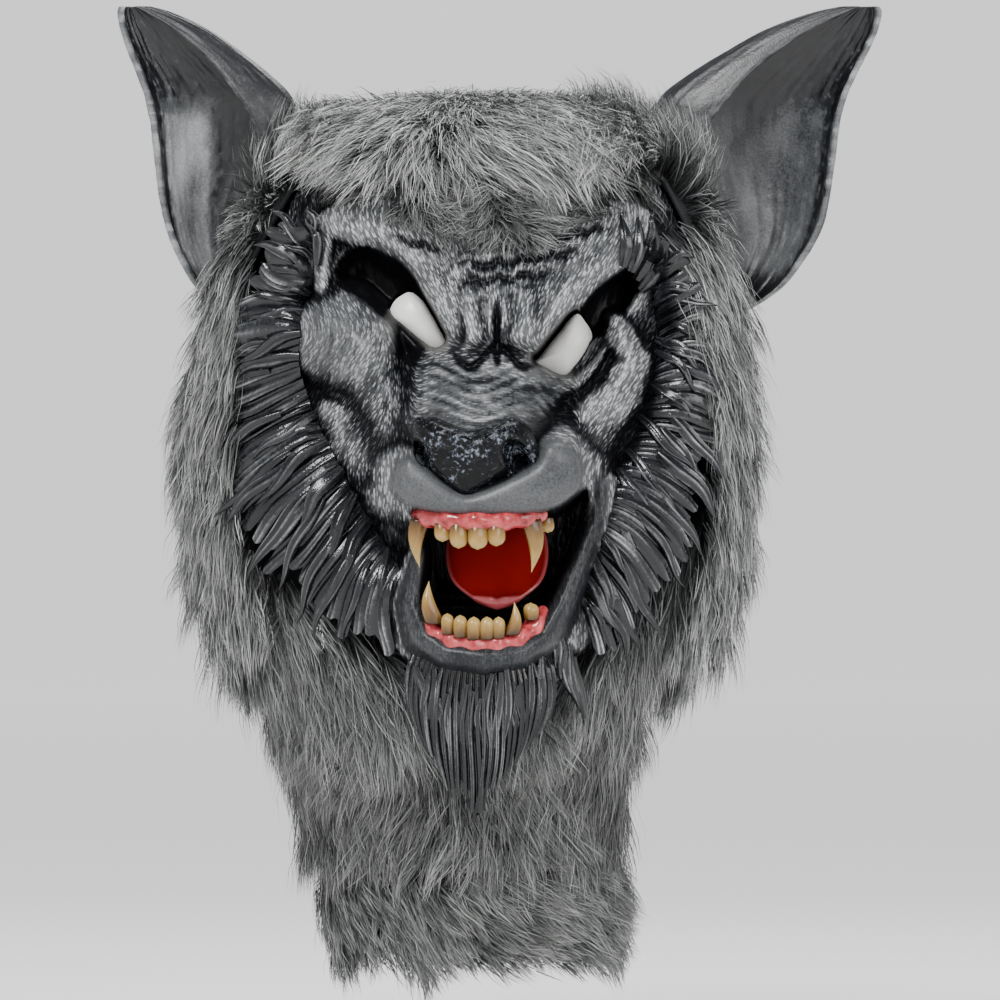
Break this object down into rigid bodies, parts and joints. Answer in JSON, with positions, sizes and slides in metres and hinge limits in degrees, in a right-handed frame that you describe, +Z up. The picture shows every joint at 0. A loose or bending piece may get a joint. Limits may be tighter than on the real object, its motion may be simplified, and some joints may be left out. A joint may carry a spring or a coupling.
{
  "type": "werewolf mask",
  "caption": "Over-the-head werewolf mask: hollow latex wolf head with snarling fanged mouth, tall ears, sculpted ruffs and long fur over the crown and bib.",
  "frame": {"origin": "the point of the mask's inside where the wearer's crown touches, on its centre plane", "axes": "+Z up out of the crown, the snout points along -Y, the mask's right ear as seen is at +X"},
  "size_m": [0.354, 0.2938, 0.4469],
  "materials": {
    "latex_grey": "dark blue-grey latex, dry-brushed light grey over black",
    "latex_black": "black latex with a wet gloss",
    "latex_ear": "black latex, smoky grey inside, light rims",
    "latex_hair": "sculpted latex hair, grey ridges over black",
    "gum": "glossy painted pink-red",
    "tongue": "glossy painted deep red",
    "tooth": "ivory yellow, stained brown at the roots",
    "eye_white": "plain white, lightly shaded",
    "fur": "long-pile grey fur fabric, dark at the roots, pale at the tips"
  },
  "bodies": {
    "root": {"latex_head": "latex_grey", "eye_left": "eye_white", "eye_right": "eye_white", "nose_pad": "latex_black", "upper_gum": "gum", "lower_gum": "gum", "tongue": "tongue", "ear_left": "latex_ear", "ear_right": "latex_ear", "cheek_ruff_left": "latex_hair", "cheek_ruff_right": "latex_hair", "chin_beard": "latex_hair", "fur_hood": "fur", "fur_bib": "fur", "fur_hem": "fur", "upper_canine_left": "tooth", "upper_incisor_1": "tooth", "upper_incisor_2": "tooth", "upper_incisor_3": "tooth", "upper_incisor_4": "tooth", "upper_canine_right": "tooth", "upper_molar": "tooth", "lower_canine_left": "tooth", "lower_incisor_1": "tooth", "lower_incisor_2": "tooth", "lower_incisor_3": "tooth", "lower_incisor_4": "tooth", "lower_incisor_5": "tooth", "lower_canine_right": "tooth", "lower_molar": "tooth"}
  },
  "joints": []
}
